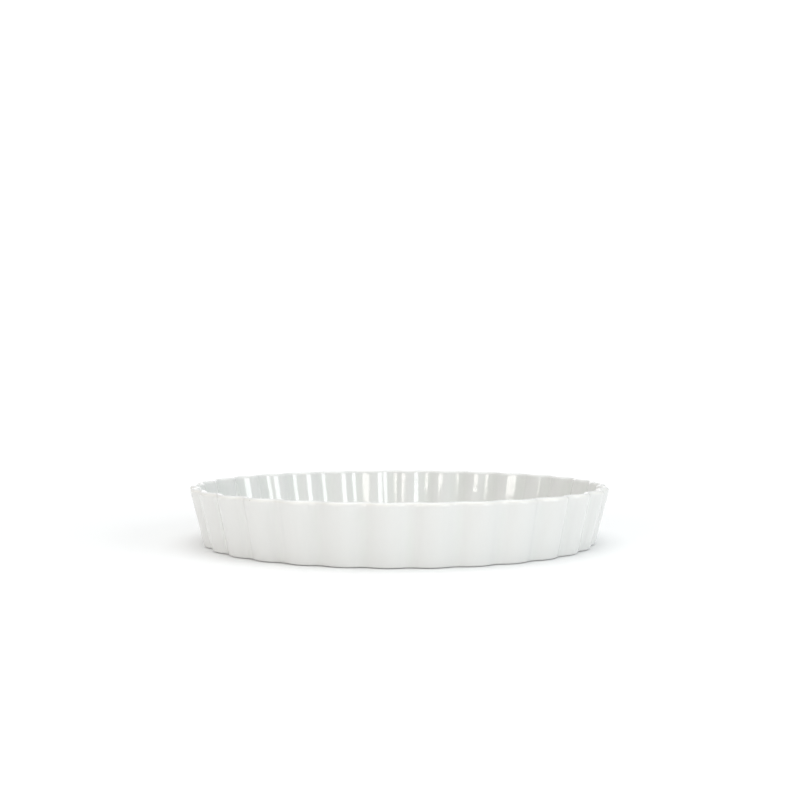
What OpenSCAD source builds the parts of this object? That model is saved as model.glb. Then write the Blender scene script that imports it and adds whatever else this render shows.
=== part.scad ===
// Fluted tart dish: one piece of white glazed porcelain with a scalloped, leaning
// side wall, a rounded lip that follows the scallops, a flat floor and a low foot ring.
// Millimetres, +Z up. The origin is on the table, in the middle of the foot ring.
// The dish is a single casting. Its regions are drawn as closed solids that meet face
// to face, so that each can carry its own finish and its own collision shape.

/* [Dish] */

// Outside diameter over the lip, measured at the crests of the flutes
dish_d = 280; // [240:5:320]

// Height from the table to the top of the lip
dish_h = 38; // [32:1:50]

// Thickness of the porcelain in the wall and in the floor
wall_t = 4.4; // [3.6:0.1:5.2]

// Angle between the side wall and the vertical, in degrees
wall_lean = 14.3; // [8:0.1:18]

/* [Flutes] */

// Number of flutes round the wall
flute_n = 31; // [26:1:36]

// How far a crease between two flutes lies inside the crests, at the lip
flute_depth = 3.6; // [3:0.1:4.5]

// The same depth at the base, where the flutes are shallower
flute_depth_base = 2.6; // [2:0.1:3.6]

// Radius at the bottom of each crease, on the outside: large, so the flutes flow softly
crease_r = 11; // [3:0.5:13]

/* [Base] */

// Radius of the rounding between the wall and the underside
base_round_r = 1.4; // [1:0.1:3.5]

// Radius of the cove between the wall and the floor, inside the dish
cove_r = 6; // [4:0.5:8]

// Radius of the round floor plate, up to where the wall begins
floor_r = 114; // [106:1:118]

// Outside radius of the unglazed foot ring
foot_r = 124; // [121:0.5:125]

// How far the foot ring stands below the glazed underside
foot_drop = 0.3; // [0.2:0.1:0.8]

// Depth of the shallow recess inside the foot ring
recess_h = 1.6; // [1.2:0.1:2.4]

/* [Finish] */

// Colour of the glazed porcelain
glaze_colour = "#F2F2EE";

// Colour of the lip, where the glaze is thin
lip_colour = "#EFEDE4";

// Colour of the bare porcelain on the foot ring
foot_colour = "#DCD6C8";

/* [Hidden] */

// Straight pieces in half a flute: on its broad arc and in half of its crease
arc_steps = 4;
crease_steps = 3;
flute_steps = 2 * (arc_steps + crease_steps);
ring_pts = flute_n * flute_steps;

// Steps round the base rounding and the cove, and up and down the lip from its top
round_steps = 3;
cove_steps = 4;
lip_out_steps = 5;
lip_in_steps = 4;

half_flute = 180 / flute_n;
rim_r = dish_d / 2;
lip_r = wall_t / 2;
lip_z = dish_h - lip_r;
wall_slope = tan(wall_lean);

// The wall's thickness measured level, and the height of the lip's widest line
level_t = wall_t / cos(wall_lean);

// Centre height of the base rounding, and where it touches the leaning wall
round_z = foot_drop + base_round_r;
round_top_z = round_z - base_round_r * sin(wall_lean);

// Top of the floor, centre height of the cove, and where the cove touches the wall
floor_top_z = recess_h + wall_t;
cove_z = floor_top_z + cove_r;
cove_top_z = cove_z - cove_r * sin(wall_lean);

// Crest radius and crease depth of the outside of the wall at height z
function crest_r(z) = rim_r - lip_r + lip_r / cos(wall_lean) - (lip_z - z) * wall_slope;
function depth(z) = flute_depth_base + (flute_depth - flute_depth_base) * z / lip_z;

// Distance from the axis to the centre of a crease's small arc, and of a flute's arc
function crease_c(r, d) = r - d + crease_r;
function flute_c(r, d) =
    let (e = crease_c(r, d), o = r + crease_r)
    (o * o - e * e) / (2 * (o - e * cos(half_flute)));

// Angle of a flute's arc on each side of its crest, up to where the crease begins
function arc_end(r, d) =
    let (e = crease_c(r, d))
    atan2(e * sin(half_flute), e * cos(half_flute) - flute_c(r, d));

// A point of half a flute, k steps from the crest. The outline is moved inwards by inset,
// at right angles to itself, so the wall keeps the same thickness all round
function half_pt(k, r, d, inset) =
    let (e = crease_c(r, d), c = flute_c(r, d), w = arc_end(r, d))
    k <= arc_steps
        ? let (a = w * k / arc_steps)
            [c + (r - c - inset) * cos(a), (r - c - inset) * sin(a)]
        : let (a = w + (half_flute - w) * (k - arc_steps) / crease_steps)
            [e * cos(half_flute) - (crease_r + inset) * cos(a),
             e * sin(half_flute) - (crease_r + inset) * sin(a)];

// Point i of a closed scalloped ring at height z; a crease faces -Y
function ring_pt(i, r, d, inset, z) =
    let (
        j = i % flute_steps - flute_steps / 2,
        turn = -90 + half_flute * (2 * floor(i / flute_steps) + 1),
        p = half_pt(abs(j), r, d, inset),
        y = j < 0 ? -p[1] : p[1]
    )
    [p[0] * cos(turn) - y * sin(turn), p[0] * sin(turn) + y * cos(turn), z];

function ring(r, d, inset, z) =
    [for (i = [0 : ring_pts - 1]) ring_pt(i, r, d, inset, z)];

// A plain round ring with as many points, just clear of a cylinder of radius r
function round_ring(r, z) =
    let (o = r / cos(180 / ring_pts))
    [for (i = [0 : ring_pts - 1])
        [o * cos(360 * i / ring_pts - 90), o * sin(360 * i / ring_pts - 90), z]];

// The wall's outside line at height z0, moved inwards by inset and drawn at height z
function wall_ring(z0, inset, z) = ring(crest_r(z0), depth(z0), inset, z);

// Rings of the lip's rounding, at an angle a above the level on the outside
function lip_ring(a) =
    ring(rim_r, flute_depth, lip_r * (1 - cos(a)), lip_z + lip_r * sin(a));

// A closed solid from a loop of rings: each ring is joined to the next, the last to
// the first, and the loop runs anticlockwise in the section seen with +Z up and the
// outside to the right
module loop_solid(rings) {
    n = len(rings);
    polyhedron(
        points = [for (r = rings) for (p = r) p],
        faces = [
            for (s = [0 : n - 1])
                for (i = [0 : ring_pts - 1])
                    let (
                        t = (s + 1) % n,
                        j = (i + 1) % ring_pts,
                        a = s * ring_pts + i,
                        b = s * ring_pts + j,
                        c = t * ring_pts + j,
                        e = t * ring_pts + i
                    )
                    each [[a, e, c], [a, c, b]]
        ],
        convexity = 8
    );
}

// Flat round floor plate of the dish
module floor_plate() {
    color(glaze_colour)
        translate([0, 0, recess_h])
            cylinder(r = floor_r, h = wall_t, $fn = 180);
}

// Scalloped side wall with the cove inside and the rounded heel outside
module fluted_wall() {
    heel = [
        for (k = [0 : round_steps])
            let (a = 90 - (90 - wall_lean) * k / round_steps)
            wall_ring(
                round_top_z,
                base_round_r * (cos(wall_lean) - cos(a)),
                round_z - base_round_r * sin(a)
            )
    ];
    cove = [
        for (k = [0 : cove_steps])
            let (a = wall_lean + (90 - wall_lean) * k / cove_steps)
            wall_ring(
                cove_top_z,
                level_t + cove_r * (cos(wall_lean) - cos(a)),
                cove_z - cove_r * sin(a)
            )
    ];
    color(glaze_colour)
        loop_solid(concat(
            [lip_ring(180 - wall_lean)],
            cove,
            [round_ring(floor_r, floor_top_z), round_ring(floor_r, foot_drop)],
            heel,
            [lip_ring(-wall_lean)]
        ));
}

// Rounded lip along the top of the wall
module rim() {
    color(lip_colour)
        loop_solid([
            for (k = [0 : lip_out_steps])
                lip_ring(-wall_lean + (90 + wall_lean) * k / lip_out_steps),
            for (k = [1 : lip_in_steps])
                lip_ring(90 + (90 - wall_lean) * k / lip_in_steps)
        ]);
}

// Low foot ring that the dish stands on; its face is left unglazed
module foot_ring() {
    edge = foot_drop / 2;
    color(foot_colour)
        rotate_extrude($fn = 180)
            polygon([
                [floor_r, edge],
                [floor_r + edge, 0],
                [foot_r - edge, 0],
                [foot_r, edge],
                [foot_r, foot_drop],
                [floor_r, foot_drop]
            ]);
}

floor_plate();
fluted_wall();
rim();
foot_ring();
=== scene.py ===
# Fluted tart dish: one casting of white glazed porcelain on a white light table.
# Metres, +Z up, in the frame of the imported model.
import math

import bpy
import numpy as np
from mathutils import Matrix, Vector


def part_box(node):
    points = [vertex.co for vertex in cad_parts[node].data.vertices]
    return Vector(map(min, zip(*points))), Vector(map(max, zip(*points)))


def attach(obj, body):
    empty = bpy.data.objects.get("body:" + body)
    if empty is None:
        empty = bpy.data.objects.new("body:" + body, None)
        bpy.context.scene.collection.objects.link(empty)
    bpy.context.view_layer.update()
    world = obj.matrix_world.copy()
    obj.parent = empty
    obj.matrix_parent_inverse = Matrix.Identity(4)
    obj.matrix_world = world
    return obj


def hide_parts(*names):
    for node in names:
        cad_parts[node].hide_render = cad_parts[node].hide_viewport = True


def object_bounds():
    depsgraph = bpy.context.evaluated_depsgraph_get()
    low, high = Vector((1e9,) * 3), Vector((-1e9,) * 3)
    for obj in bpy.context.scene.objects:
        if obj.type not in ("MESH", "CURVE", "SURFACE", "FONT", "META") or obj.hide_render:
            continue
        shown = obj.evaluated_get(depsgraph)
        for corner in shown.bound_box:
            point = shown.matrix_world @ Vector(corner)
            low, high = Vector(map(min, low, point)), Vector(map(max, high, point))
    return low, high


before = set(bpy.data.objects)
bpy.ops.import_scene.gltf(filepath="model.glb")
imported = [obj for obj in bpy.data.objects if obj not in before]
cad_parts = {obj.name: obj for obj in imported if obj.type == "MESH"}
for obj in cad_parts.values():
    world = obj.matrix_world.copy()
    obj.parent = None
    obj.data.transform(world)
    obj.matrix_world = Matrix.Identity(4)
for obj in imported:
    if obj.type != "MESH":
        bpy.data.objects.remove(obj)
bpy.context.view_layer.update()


# ---------------------------------------------------------------- camera
# A camera with a 50 mm lens looks almost level across the dish from a little above the
# lip, so the inside of the far wall shows over the near lip and the floor stays hidden.
scene = bpy.context.scene
scene.view_settings.view_transform = "Standard"

# A crest of the flutes faces +Y, so the dish reaches its full radius there.
dish_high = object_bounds()[1]
dish_r = dish_high.y
dish_h = dish_high.z

CAMERA_AWAY = 5.4 * dish_r
CAMERA_ABOVE_TABLE = 0.6895 * dish_r
CAMERA_TURN = math.radians(-2.8)  # round the dish, towards its left side
LOOK_DOWN = math.radians(0.13)
LOOK_RIGHT = math.radians(0.05)

camera_data = bpy.data.cameras.new("camera")
camera_data.lens = 50.1
camera_data.sensor_width = 36.0
camera_data.clip_start = 0.01
camera = bpy.data.objects.new("camera", camera_data)
camera.location = (
    CAMERA_AWAY * math.sin(CAMERA_TURN),
    -CAMERA_AWAY * math.cos(CAMERA_TURN),
    CAMERA_ABOVE_TABLE,
)
camera.rotation_euler = (math.radians(90) - LOOK_DOWN, 0, CAMERA_TURN - LOOK_RIGHT)
scene.collection.objects.link(camera)
scene.camera = camera


# ---------------------------------------------------------------- light tent
# White cloth stretched over a frame round the dish, a little cooler on the right, with
# lamps above its roof. A paper backdrop, brighter than the cloth, hangs behind the dish.
def linear(hex_colour):
    """An sRGB hex colour such as "F2F2EE" as linear RGBA."""
    parts = [int(hex_colour[i : i + 2], 16) / 255 for i in (0, 2, 4)]
    return (*[c / 12.92 if c <= 0.04045 else ((c + 0.055) / 1.055) ** 2.4 for c in parts], 1.0)


def node(tree, kind, settings=(), **links):
    """Adds a node. Settings are its own properties, or its inputs by name or number; a
    link goes to the input whose name has the underscores as spaces."""
    made = tree.nodes.new(kind)
    for key, value in dict(settings).items():
        if isinstance(key, str) and hasattr(made, key):
            setattr(made, key, value)
        elif isinstance(value, bpy.types.NodeSocket):
            tree.links.new(value, made.inputs[key])
        else:
            made.inputs[key].default_value = value
    for key, source in links.items():
        tree.links.new(source, made.inputs[key.replace("_", " ")])
    return made


# A Mix node has a set of sockets for each kind of value. These are the ones for colours.
MIX_FACTOR, MIX_A, MIX_B = 0, 6, 7
MIXED = 2

CLOTH_LEFT = linear("F0EEEC")
CLOTH_RIGHT = linear("E9EEF0")
PAPER_WHITE = linear("FFFFFF")
CLOTH_GLOW = 0.72
ROOF_GLOW = 2.57
BACKDROP_GLOW = 1.2

# Along the unit vector to a point of the tent, the roof begins at 46 degrees above the
# level and is brightest straight above, and the backdrop begins at 26 degrees from +Y and
# is whole within 11 degrees.
ROOF_FROM, ROOF_FULL = 0.72, 1.0
BACKDROP_FROM, BACKDROP_FULL = 0.90, 0.98

world = bpy.data.worlds.new("light_tent")
scene.world = world
world.use_nodes = True
tent = world.node_tree
tent.nodes.clear()
towards = node(tent, "ShaderNodeTexCoord").outputs["Generated"]
direction = node(tent, "ShaderNodeSeparateXYZ", Vector=towards).outputs
rightness = node(
    tent, "ShaderNodeMapRange", {"From Min": -1.0, "From Max": 1.0}, Value=direction["X"]
).outputs[0]
cloth_colour = node(
    tent,
    "ShaderNodeMix",
    {"data_type": "RGBA", MIX_FACTOR: rightness, MIX_A: CLOTH_LEFT, MIX_B: CLOTH_RIGHT},
).outputs[MIXED]
cloth_glow = node(
    tent,
    "ShaderNodeMapRange",
    {
        "interpolation_type": "SMOOTHSTEP",
        "From Min": ROOF_FROM,
        "From Max": ROOF_FULL,
        "To Min": CLOTH_GLOW,
        "To Max": ROOF_GLOW,
    },
    Value=direction["Z"],
).outputs[0]
cloth = node(tent, "ShaderNodeBackground", Color=cloth_colour, Strength=cloth_glow).outputs[0]
backdrop = node(
    tent, "ShaderNodeBackground", {"Color": PAPER_WHITE, "Strength": BACKDROP_GLOW}
).outputs[0]
behind = node(
    tent,
    "ShaderNodeMapRange",
    {"From Min": BACKDROP_FROM, "From Max": BACKDROP_FULL},
    Value=direction["Y"],
).outputs[0]

# The camera itself sees the backdrop's white whichever way it looks.
seen = node(tent, "ShaderNodeLightPath").outputs["Is Camera Ray"]
white_there = node(
    tent, "ShaderNodeMath", {"operation": "MAXIMUM", 0: behind, 1: seen}
).outputs[0]
all_round = node(
    tent, "ShaderNodeMixShader", {0: white_there, 1: cloth, 2: backdrop}
).outputs[0]
node(tent, "ShaderNodeOutputWorld", Surface=all_round)


# ---------------------------------------------------------------- soft boxes
# Two fabric soft boxes on stands in front of the dish, one low on its left and one on
# its right. The glaze shows them as the bright strips in the flutes of the far wall.
SOFT_BOX_AWAY = 1.5


def soft_box(name, azimuth, elevation, width, height, radiance, colour):
    """A soft box that faces the middle of the dish. Its azimuth is from -Y towards +X."""
    data = bpy.data.lights.new(name, "AREA")
    data.shape = "RECTANGLE"
    data.size = width
    data.size_y = height
    data.color = linear(colour)[:3]
    data.energy = radiance * math.pi * width * height
    made = bpy.data.objects.new(name, data)
    a, e = math.radians(azimuth), math.radians(elevation)
    out = Vector((math.sin(a) * math.cos(e), -math.cos(a) * math.cos(e), math.sin(e)))
    made.location = Vector((0, 0, dish_h)) + out * SOFT_BOX_AWAY
    made.rotation_euler = out.to_track_quat("Z", "Y").to_euler()
    scene.collection.objects.link(made)


soft_box(
    "soft_box_left",
    azimuth=-34.0,
    elevation=17.8,
    width=0.70,
    height=0.30,
    radiance=5.6,
    colour="FFFBF6",
)
soft_box(
    "soft_box_right",
    azimuth=52.0,
    elevation=25.0,
    width=0.74,
    height=0.44,
    radiance=5.2,
    colour="F8FDFF",
)


# ---------------------------------------------------------------- light table
# The dish stands on a wide sheet of opal acrylic with lamps below it. The edge of the
# sheet is out of sight.
TABLE_R = 12.0
TABLE_SIDES = 96
table_mesh = bpy.data.meshes.new("table")
around = [math.tau * k / TABLE_SIDES for k in range(TABLE_SIDES)]
table_mesh.from_pydata(
    [(TABLE_R * math.cos(a), TABLE_R * math.sin(a), 0) for a in around],
    [],
    [range(TABLE_SIDES)],
)
table = bpy.data.objects.new("table", table_mesh)
scene.collection.objects.link(table)


def new_material(name):
    """A material with no nodes yet, and its node tree."""
    made = bpy.data.materials.new(name)
    made.use_nodes = True
    made.node_tree.nodes.clear()
    return made, made.node_tree


# Opal acrylic, cast with a matt face: an even white with hardly any shine. The further
# from the dish, the less the soft boxes light it and the more the lamps below do, so it
# is as white there as beside the dish.
ACRYLIC_WHITE = linear("EEEEEE")
LAMP_WHITE = linear("FFFFFF")
LAMPS_GLOW = 0.45
LAMPS_FROM, LAMPS_FULL = 0.02, 2.0  # distance from the middle of the dish

opal_acrylic, tree = new_material("opal_acrylic")
place = node(tree, "ShaderNodeTexCoord").outputs["Object"]
from_middle = node(
    tree, "ShaderNodeVectorMath", {"operation": "LENGTH", 0: place}
).outputs["Value"]
glow_below = node(
    tree,
    "ShaderNodeMapRange",
    {"From Min": LAMPS_FROM, "From Max": LAMPS_FULL, "To Max": LAMPS_GLOW},
    Value=from_middle,
).outputs[0]
surface = node(
    tree,
    "ShaderNodeBsdfPrincipled",
    {
        "Base Color": ACRYLIC_WHITE,
        "Roughness": 0.7,
        "Specular IOR Level": 0.2,
        "Emission Color": LAMP_WHITE,
    },
    Emission_Strength=glow_below,
).outputs[0]
node(tree, "ShaderNodeOutputMaterial", Surface=surface)
table_mesh.materials.append(opal_acrylic)


# ---------------------------------------------------------------- fluted wall
# The side of the dish, cast in porcelain in a fluted mould: broad arcs that bulge out
# and run into softer, narrower creases. It leans outwards, its heel is rounded outside
# and a cove joins it to the floor inside. One clear glaze covers it all.
MM = 0.001
FLUTES = 31
FLUTE_DEPTH = 3.6 * MM  # from crest to crease at the lip
FLUTE_DEPTH_BASE = 2.6 * MM  # outside, at the level of the table
FLUTE_DEPTH_COVE = 3.5 * MM  # inside, where the cove begins
CREASE_R = 11.0 * MM
WALL_T = 4.4 * MM
LEAN = math.radians(14.3)
INSIDE_HOLLOW = 0.225 * MM
HEEL_R = 1.4 * MM
COVE_R = 6.0 * MM

# Steps along half a flute, and the number of rings in each stretch of the section
ARC_STEPS = 8
CREASE_STEPS = 6
HALF_FLUTE_STEPS = ARC_STEPS + CREASE_STEPS
RING_POINTS = 2 * HALF_FLUTE_STEPS * FLUTES
HEEL_RINGS = 9
WALL_RINGS = 15
LIP_RINGS = 21
COVE_RINGS = 10

floor_low, floor_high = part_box("floor_plate")
foot_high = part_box("foot_ring")[1]
plate_r = floor_high.x
lip_r = WALL_T / 2
lip_z = dish_h - lip_r
heel_z = foot_high.z
half_flute = math.pi / FLUTES


def crest_r(z):
    """Radius of the outside of the wall at its crests, at the height z."""
    return dish_r - lip_r + lip_r / math.cos(LEAN) - (lip_z - z) * math.tan(LEAN)


def flute_depth(z):
    """Depth of the creases on the outside, at the height z."""
    return FLUTE_DEPTH_BASE + (FLUTE_DEPTH - FLUTE_DEPTH_BASE) * z / lip_z


def scallops(r, depth, inset):
    """The scalloped line round the dish in plan, moved inwards at right angles to itself.
    The arc of a flute and the arc of a crease run smoothly into each other; flute_c and
    crease_c are how far their centres are from the axis. A crease faces -Y."""
    outer = r + CREASE_R
    crease_c = outer - depth
    flute_c = (outer**2 - crease_c**2) / (2 * (outer - crease_c * math.cos(half_flute)))
    crease_centre = crease_c * np.array([math.cos(half_flute), math.sin(half_flute)])
    arc_end = math.atan2(crease_centre[1], crease_centre[0] - flute_c)
    a = np.linspace(0, arc_end, ARC_STEPS + 1)
    b = np.linspace(arc_end, half_flute, CREASE_STEPS + 1)[1:]
    arc = (r - flute_c - inset) * np.stack([np.cos(a), np.sin(a)], 1) + (flute_c, 0)
    crease = crease_centre - (CREASE_R + inset) * np.stack([np.cos(b), np.sin(b)], 1)
    half = np.concatenate([arc, crease])
    flute = np.concatenate([half[:0:-1] * (1, -1), half[:-1]])
    crests = -math.pi / 2 + half_flute * (2 * np.arange(FLUTES) + 1)
    cos, sin = np.cos(crests)[:, None], np.sin(crests)[:, None]
    x = flute[:, 0] * cos - flute[:, 1] * sin
    y = flute[:, 0] * sin + flute[:, 1] * cos
    return np.stack([x.ravel(), y.ravel()], 1)


# A ring is a closed line of points with x, y, z and the depth of the glaze there, which
# also carries painted shade: 0 is an even coat, -1 is run thin over an edge and 1 is
# pooled in a hollow. Outside, the glaze pools in the creases; inside, where the creases
# stand out, it pools between them. The pooled colour is partly the glaze's own and partly
# painted shade in these hollows, with a painted cool tint for the light bounced round
# inside the dish.
steps_from_crest = np.abs(np.arange(-HALF_FLUTE_STEPS, HALF_FLUTE_STEPS))
in_crease = np.tile(steps_from_crest / HALF_FLUTE_STEPS, FLUTES)
outside_glaze_and_shade = 0.5 * in_crease**3 - 0.15
inside_glaze_and_shade = 0.45 - 0.8 * in_crease**2


def ring(r, depth, inset, z, glaze_and_shade):
    """A scalloped line at the height z."""
    same = np.ones(RING_POINTS)
    return np.column_stack([scallops(r, depth, inset), z * same, glaze_and_shade * same])


def round_ring(r, z, glaze_and_shade=0.0):
    """A plain round line at the height z, with as many points as a scalloped one."""
    a = -math.pi / 2 + math.tau * np.arange(RING_POINTS) / RING_POINTS
    same = np.ones(RING_POINTS)
    return np.column_stack([r * np.cos(a), r * np.sin(a), z * same, glaze_and_shade * same])


# The glaze is thin all over the lip, and thinnest on its outer shoulder.
LIP_GLAZE = -0.35
SHOULDER_GLAZE = -1.0
SHOULDER = math.radians(30)
SHOULDER_SPREAD = math.radians(16)


def lip_ring(a):
    """A line round the lip, at the angle a above the level on the outside."""
    at_shoulder = math.exp(-(((a - SHOULDER) / SHOULDER_SPREAD) ** 2))
    glaze_and_shade = LIP_GLAZE + (SHOULDER_GLAZE - LIP_GLAZE) * at_shoulder
    return ring(
        dish_r, FLUTE_DEPTH, lip_r * (1 - math.cos(a)), lip_z + lip_r * math.sin(a), glaze_and_shade
    )


level_t = WALL_T / math.cos(LEAN)
heel_centre_z = heel_z + HEEL_R
heel_top_z = heel_centre_z - HEEL_R * math.sin(LEAN)
cove_centre_z = floor_high.z + COVE_R
cove_top_z = cove_centre_z - COVE_R * math.sin(LEAN)
lip_out_z = lip_z - lip_r * math.sin(LEAN)
lip_in_z = lip_z + lip_r * math.sin(LEAN)


def inside_ring(t):
    """A line round the inside, at t from 0 at the lip to 1 at the cove. The flutes keep
    nearly all of their depth, and the wall is slightly hollow, most of all halfway."""
    z = lip_in_z + (cove_top_z - lip_in_z) * t
    depth = FLUTE_DEPTH + (FLUTE_DEPTH_COVE - FLUTE_DEPTH) * t
    return ring(crest_r(z) + 4 * INSIDE_HOLLOW * t * (1 - t), depth, level_t, z, inside_glaze_and_shade)


heel = [
    ring(
        crest_r(heel_top_z),
        flute_depth(heel_top_z),
        HEEL_R * (math.cos(LEAN) - math.cos(a)),
        heel_centre_z - HEEL_R * math.sin(a),
        outside_glaze_and_shade,
    )
    for a in np.linspace(math.pi / 2, LEAN, HEEL_RINGS)
]
outside = [
    ring(crest_r(z), flute_depth(z), 0, z, outside_glaze_and_shade)
    for z in np.linspace(heel_top_z, lip_out_z, WALL_RINGS)[1:-1]
]
lip = [lip_ring(a) for a in np.linspace(-LEAN, math.pi - LEAN, LIP_RINGS)]
inside = [inside_ring(t) for t in np.linspace(0, 1, WALL_RINGS)[1:-1]]

# Down the cove the glaze pools more and more, by so much for each radian, and the
# painted shade deepens with it towards the corner with the floor.
COVE_POOLING_AND_SHADE = 0.5
cove = [
    ring(
        crest_r(cove_top_z),
        FLUTE_DEPTH_COVE,
        level_t + COVE_R * (math.cos(LEAN) - math.cos(a)),
        cove_centre_z - COVE_R * math.sin(a),
        inside_glaze_and_shade + COVE_POOLING_AND_SHADE * (a - LEAN),
    )
    for a in np.linspace(LEAN, math.pi / 2, COVE_RINGS)
]

# The floor rises by a few tenths of a millimetre towards its middle, so that the dish
# doesn't sag in the kiln. Its rings end at a small disc in the middle.
FLOOR_CROWN = 0.3 * MM
FLOOR_RINGS = 16
FLOOR_GLAZE = 0.2
DISC_R = 2 * MM
floor_top = [
    round_ring(
        r, floor_high.z + FLOOR_CROWN * math.cos(math.pi / 2 * r / plate_r) ** 2, FLOOR_GLAZE
    )
    for r in np.linspace(plate_r, DISC_R, FLOOR_RINGS)
]

# The fired dish is never quite true: slow waves run over it, none of them taller than a
# few hundredths of a millimetre, and they are what bends the reflections in the glaze.
FIRING_SEED = 31
WAVES = 40
SHORTEST_WAVE = 14 * MM
LONGEST_WAVE = 70 * MM
MIDDLING_WAVE = 40 * MM
MIDDLING_HEIGHT = 0.017 * MM
WAVE_GROWTH = 1.5  # how strongly the height of a wave grows with its length
HEEL_FADE = 6 * MM  # height over which the waves die away towards the heel
FLOOR_FADE = 10 * MM  # width over which they die away towards the edge of the floor

rng = np.random.default_rng(FIRING_SEED)
wave_way = rng.normal(size=(WAVES, 3))
wave_way /= np.linalg.norm(wave_way, axis=1, keepdims=True)
wave_length = rng.uniform(SHORTEST_WAVE, LONGEST_WAVE, WAVES)
wave_start = rng.uniform(0, math.tau, WAVES)
wave_height = MIDDLING_HEIGHT * (wave_length / MIDDLING_WAVE) ** WAVE_GROWTH


def fired(rings):
    """Moves the points of the skin by the waves left from firing: in or out on the wall,
    up or down on the floor. The bottom of the heel and the height of the lip stay put."""
    warped = []
    for points in rings:
        p = points.copy()
        swell = np.zeros(len(p))
        for way, length, start, height in zip(wave_way, wave_length, wave_start, wave_height):
            swell += height * np.sin(p[:, :3] @ way * (math.tau / length) + start)
        reach = np.linalg.norm(p[:, :2], axis=1)
        on_wall = swell * np.clip((p[:, 2] - heel_z) / HEEL_FADE, 0, 1) * (reach > plate_r)
        p[:, :2] *= 1 + (on_wall / reach)[:, None]
        p[:, 2] += swell * np.clip((plate_r - reach) / FLOOR_FADE, 0, 1)
        warped.append(p)
    return warped


def normals_of(rings):
    """Normals of a run of rings, taken from the neighbours along and across it."""
    grid = np.stack(rings)[:, :, :3]
    along = np.roll(grid, -1, axis=1) - np.roll(grid, 1, axis=1)
    across = np.gradient(grid, axis=0)
    out = np.cross(along, across)
    return out / np.linalg.norm(out, axis=2, keepdims=True)


def ring_piece(name, runs, capped=False):
    """A closed piece from runs of rings, each given with its normals. A run is smooth in
    itself, and where one ends and the next begins, on the same ring, there is an edge.
    The last run meets the first again, or both end at a small disc in the middle."""
    rings = [r for run, _ in runs for r in run[:-1]]
    if capped:
        rings.append(runs[-1][0][-1])
    i = np.arange(RING_POINTS)
    j = (i + 1) % RING_POINTS
    faces, normals = [], []
    s = 0
    for run, run_normals in runs:
        for k in range(len(run) - 1):
            a, b = s * RING_POINTS, (s + 1) % len(rings) * RING_POINTS
            faces += np.stack([a + i, a + j, b + j, b + i], 1).tolist()
            n0, n1 = run_normals[k], run_normals[k + 1]
            normals.append(np.stack([n0[i], n0[j], n1[j], n1[i]], 1).reshape(-1, 3))
            s += 1
    points = np.concatenate(rings)
    if capped:
        for end, p, q, up in ((0, j, i, -1), (len(rings) - 1, i, j, 1)):
            first, middle = end * RING_POINTS, np.full(RING_POINTS, len(points))
            points = np.vstack([points, rings[end].mean(axis=0)])
            faces += np.stack([first + p, first + q, middle], 1).tolist()
            normals.append(np.tile((0.0, 0.0, up), (3 * RING_POINTS, 1)))
    mesh = bpy.data.meshes.new(name)
    mesh.from_pydata(points[:, :3].tolist(), [], faces)
    depth = mesh.attributes.new("glaze_depth_and_shade", "FLOAT", "POINT")
    depth.data.foreach_set("value", points[:, 3])
    mesh.shade_smooth()
    mesh.normals_split_custom_set(np.concatenate(normals).tolist())
    made = bpy.data.objects.new(name, mesh)
    scene.collection.objects.link(made)
    return made


# The glazed skin runs in one sweep from the heel, over the lip, to the middle of the
# floor, so its normals are worked out once and shared by the pieces that it crosses.
skin = fired([*heel, *outside, *lip, *inside, *cove, *floor_top])
skin_normals = normals_of(skin)
lip_from = len(heel) + len(outside)
lip_to = lip_from + len(lip) - 1
floor_from = len(skin) - FLOOR_RINGS


def skin_run(first, last):
    """A stretch of the glazed skin, with the normals that it shares with its neighbours."""
    return skin[first : last + 1], skin_normals[first : last + 1]


def plain_run(*rings):
    """A stretch apart from the skin, smooth only in itself."""
    return list(rings), normals_of(rings)


# Under the dish, the wall ends in a small rounded edge at the recess below the floor.
RECESS_EDGE_R = 0.6 * MM
RECESS_EDGE_RINGS = 5
RECESS_EDGE_GLAZE = -0.6
recess_edge = [
    round_ring(
        plate_r + RECESS_EDGE_R * (1 - math.sin(a)),
        heel_z + RECESS_EDGE_R * (1 - math.cos(a)),
        RECESS_EDGE_GLAZE,
    )
    for a in np.linspace(math.pi / 2, 0, RECESS_EDGE_RINGS)
]
wall = ring_piece(
    "fluted_wall_glazed",
    [
        skin_run(0, lip_from),
        plain_run(skin[lip_from], skin[lip_to]),
        skin_run(lip_to, floor_from),
        plain_run(skin[floor_from], recess_edge[0]),
        plain_run(*recess_edge),
        plain_run(recess_edge[-1], skin[0]),
    ],
)

# Glazed porcelain: a vitreous white body under a clear glossy glaze, dipped and fired. It
# gives sharp reflections with a faint orange peel, a cool grey-green where the glaze
# pools, a warm line where it runs thin, and a few dark iron specks. The grey-green is
# partly the glaze's own and partly painted: painted shade in the creases and the cove,
# and a painted cool tint for the light bounced round inside the dish.
BODY_WHITE = linear("DFDFDD")
POOLED_GLAZE_AND_SHADE = linear("DDE0DB")
THIN_GLAZE = linear("E1DFDB")
IRON_SPECK = linear("6B6459")
GLAZE_RUN = 9 * MM
PATCHINESS = 0.22  # how much the runs add to the depth of the glaze or take from it
RUN_HEIGHT = 0.10 * MM
ORANGE_PEEL = 2.4 * MM
PEEL_HEIGHT = 0.012 * MM
SPECK_SPACING = 15 * MM
SPECK_R = 0.42 * MM  # real ones are half of this, too fine to show from across a table
SPECK_BLUR = 0.35 * SPECK_R
SPECK_RARITY = 0.62  # between 0 and 1: the nearer to 1, the fewer cells hold a speck

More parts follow.
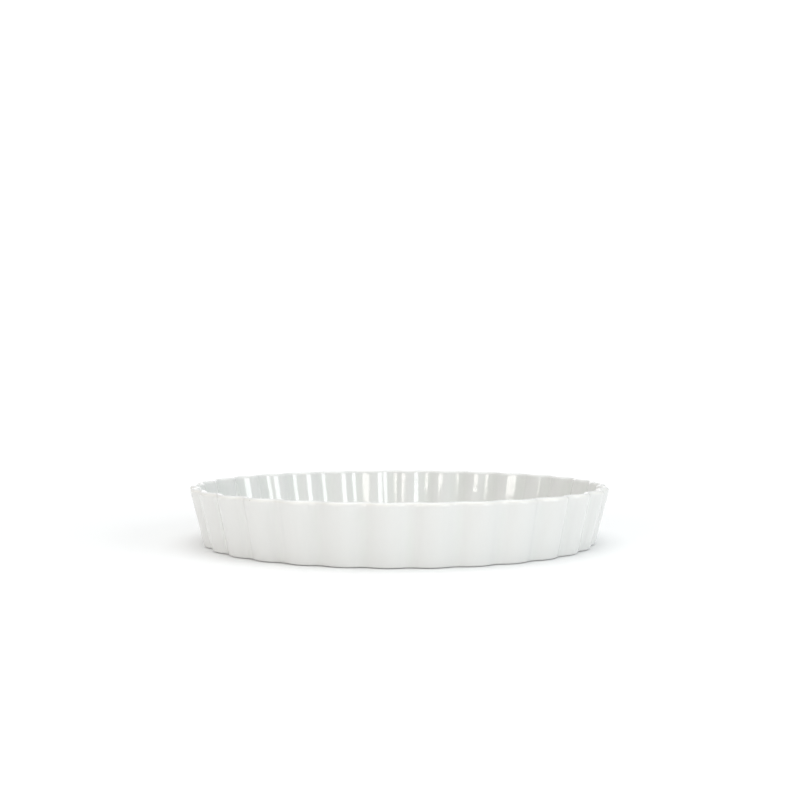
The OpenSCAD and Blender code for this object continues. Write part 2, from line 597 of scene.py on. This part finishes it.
glazed_porcelain, tree = new_material("glazed_porcelain")
place = node(tree, "ShaderNodeTexCoord").outputs["Object"]
glaze_depth_and_shade = node(
    tree, "ShaderNodeAttribute", {"attribute_name": "glaze_depth_and_shade"}
).outputs["Fac"]
glaze_runs = node(
    tree,
    "ShaderNodeTexNoise",
    {"Scale": 1 / GLAZE_RUN, "Detail": 4.0, "Roughness": 0.55, "Distortion": 0.6},
    Vector=place,
).outputs["Fac"]
patchy = node(
    tree,
    "ShaderNodeMapRange",
    {"From Min": 0.3, "From Max": 0.7, "To Min": -PATCHINESS, "To Max": PATCHINESS},
    Value=glaze_runs,
).outputs[0]
coat_and_shade = node(
    tree, "ShaderNodeMath", {"operation": "ADD", 0: glaze_depth_and_shade, 1: patchy}
).outputs[0]
# How far the colour goes over to the pooled grey-green, which is partly painted shade and a
# painted cool tint.
pooled_and_shaded = node(tree, "ShaderNodeMapRange", {"From Max": 1.0}, Value=coat_and_shade).outputs[0]
thinned = node(
    tree, "ShaderNodeMapRange", {"From Min": LIP_GLAZE, "From Max": SHOULDER_GLAZE}, Value=coat_and_shade
).outputs[0]
tint = node(
    tree,
    "ShaderNodeMix",
    {"data_type": "RGBA", MIX_FACTOR: pooled_and_shaded, MIX_A: BODY_WHITE, MIX_B: POOLED_GLAZE_AND_SHADE},
).outputs[MIXED]
tint = node(
    tree,
    "ShaderNodeMix",
    {"data_type": "RGBA", MIX_FACTOR: thinned, MIX_A: tint, MIX_B: THIN_GLAZE},
).outputs[MIXED]

# Each cell of the pattern may hold one speck, and most cells hold none.
speck_cells = node(
    tree, "ShaderNodeTexVoronoi", {"Scale": 1 / SPECK_SPACING, "Randomness": 1.0}, Vector=place
)
speck_size = node(
    tree,
    "ShaderNodeMapRange",
    {"From Min": SPECK_RARITY, "From Max": 1.0, "To Max": SPECK_R / SPECK_SPACING},
    Value=speck_cells.outputs["Color"],
).outputs[0]
within_speck = node(
    tree,
    "ShaderNodeMath",
    {"operation": "SUBTRACT", 0: speck_size, 1: speck_cells.outputs["Distance"]},
).outputs[0]
speck = node(
    tree,
    "ShaderNodeMapRange",
    {"interpolation_type": "SMOOTHSTEP", "From Max": SPECK_BLUR / SPECK_SPACING},
    Value=within_speck,
).outputs[0]
colour = node(
    tree,
    "ShaderNodeMix",
    {"data_type": "RGBA", MIX_FACTOR: speck, MIX_A: tint, MIX_B: IRON_SPECK},
).outputs[MIXED]

peel = node(
    tree,
    "ShaderNodeTexNoise",
    {"Scale": 1 / ORANGE_PEEL, "Detail": 2.0, "Roughness": 0.4},
    Vector=place,
).outputs["Fac"]
peel_bump = node(
    tree, "ShaderNodeBump", {"Strength": 1.0, "Distance": PEEL_HEIGHT}, Height=peel
).outputs[0]
run_bump = node(
    tree,
    "ShaderNodeBump",
    {"Strength": 1.0, "Distance": RUN_HEIGHT},
    Height=glaze_runs,
    Normal=peel_bump,
).outputs[0]
gloss = node(
    tree,
    "ShaderNodeMapRange",
    {"From Min": 0.25, "From Max": 0.75, "To Min": 0.05, "To Max": 0.13},
    Value=glaze_runs,
).outputs[0]
surface = node(
    tree,
    "ShaderNodeBsdfPrincipled",
    {"IOR": 1.6},
    Base_Color=colour,
    Roughness=gloss,
    Normal=run_bump,
).outputs[0]
node(tree, "ShaderNodeOutputMaterial", Surface=surface)

wall.data.materials.append(glazed_porcelain)
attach(wall, "root")
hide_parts("fluted_wall")


# ---------------------------------------------------------------- lip
# The top of the wall, sponged round while the clay was damp. It follows the scallops and
# carries on the glazed skin without a seam.
lip_piece = ring_piece(
    "rounded_lip_glazed",
    [skin_run(lip_from, lip_to), plain_run(skin[lip_to], skin[lip_from])],
)
lip_piece.data.materials.append(glazed_porcelain)
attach(lip_piece, "root")
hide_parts("rim")


# ---------------------------------------------------------------- floor plate
# The round plate that the filling lies on, one with the wall. It is glazed above and
# below; underneath, it is drawn up a little so that only the foot touches the table.
UNDERSIDE_RINGS = 12
UNDERSIDE_GLAZE = 0.1
underside = [
    round_ring(r, floor_low.z, UNDERSIDE_GLAZE)
    for r in np.linspace(DISC_R, plate_r, UNDERSIDE_RINGS)
]
floor_piece = ring_piece(
    "floor_plate_glazed",
    [
        plain_run(*underside),
        plain_run(underside[-1], skin[floor_from]),
        skin_run(floor_from, len(skin) - 1),
    ],
    capped=True,
)
floor_piece.data.materials.append(glazed_porcelain)
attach(floor_piece, "root")
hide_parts("floor_plate")


# ---------------------------------------------------------------- foot ring
# The low band of porcelain that the dish stands on, one with the wall. The glaze was
# wiped off it before firing, so that it wouldn't stick to the kiln shelf.
FOOT_EDGE_R = 0.8 * foot_high.z
FOOT_EDGE_RINGS = 4
foot_in = plate_r + RECESS_EDGE_R
foot_out = foot_high.x
quarter_turn = np.linspace(0, math.pi / 2, FOOT_EDGE_RINGS)


def foot_edge_ring(side_r, way, a):
    """A line round an edge of the foot, at the angle a from its face to its side. Way is
    1 at the inner side of the foot and -1 at the outer one."""
    r = side_r + way * FOOT_EDGE_R * (1 - math.sin(a))
    return round_ring(r, FOOT_EDGE_R * (1 - math.cos(a)))


inner_edge = [foot_edge_ring(foot_in, 1, a) for a in quarter_turn[::-1]]
outer_edge = [foot_edge_ring(foot_out, -1, a) for a in quarter_turn]
foot_top = [round_ring(foot_out, heel_z), round_ring(foot_in, heel_z)]
foot = ring_piece(
    "foot_ring_bare",
    [
        plain_run(*inner_edge, *outer_edge),
        plain_run(outer_edge[-1], foot_top[0]),
        plain_run(*foot_top),
        plain_run(foot_top[1], inner_edge[0]),
    ],
)

# Bare fired porcelain: no glaze, so it is dull and a little darker and warmer, with the
# fine grit of the kiln shelf and grey rubbing marks from tables and shelves.
BARE_WHITE = linear("DEDACF")
BARE_SHADE = linear("CFC9BB")
RUBBED_GREY = linear("9C9993")
GRIT = 0.7 * MM  # the real grit is about 0.1 mm, too fine to show
GRIT_HEIGHT = 0.05 * MM
RUB_LENGTH = 14 * MM

bare_porcelain, tree = new_material("bare_porcelain")
place = node(tree, "ShaderNodeTexCoord").outputs["Object"]
grit = node(
    tree,
    "ShaderNodeTexNoise",
    {"Scale": 1 / GRIT, "Detail": 3.0, "Roughness": 0.6},
    Vector=place,
).outputs["Fac"]
fired_clay = node(
    tree,
    "ShaderNodeMix",
    {"data_type": "RGBA", MIX_FACTOR: grit, MIX_A: BARE_WHITE, MIX_B: BARE_SHADE},
).outputs[MIXED]
rubs = node(
    tree,
    "ShaderNodeTexNoise",
    {"Scale": 1 / RUB_LENGTH, "Detail": 6.0, "Distortion": 1.5},
    Vector=place,
).outputs["Fac"]
rubbed = node(
    tree, "ShaderNodeMapRange", {"From Min": 0.56, "From Max": 0.72, "To Max": 0.6}, Value=rubs
).outputs[0]
colour = node(
    tree,
    "ShaderNodeMix",
    {"data_type": "RGBA", MIX_FACTOR: rubbed, MIX_A: fired_clay, MIX_B: RUBBED_GREY},
).outputs[MIXED]
dullness = node(
    tree, "ShaderNodeMapRange", {"To Min": 0.6, "To Max": 0.85}, Value=grit
).outputs[0]
grit_bump = node(
    tree, "ShaderNodeBump", {"Strength": 1.0, "Distance": GRIT_HEIGHT}, Height=grit
).outputs[0]
surface = node(
    tree,
    "ShaderNodeBsdfPrincipled",
    {"IOR": 1.5},
    Base_Color=colour,
    Roughness=dullness,
    Normal=grit_bump,
).outputs[0]
node(tree, "ShaderNodeOutputMaterial", Surface=surface)

foot.data.materials.append(bare_porcelain)
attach(foot, "root")
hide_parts("foot_ring")
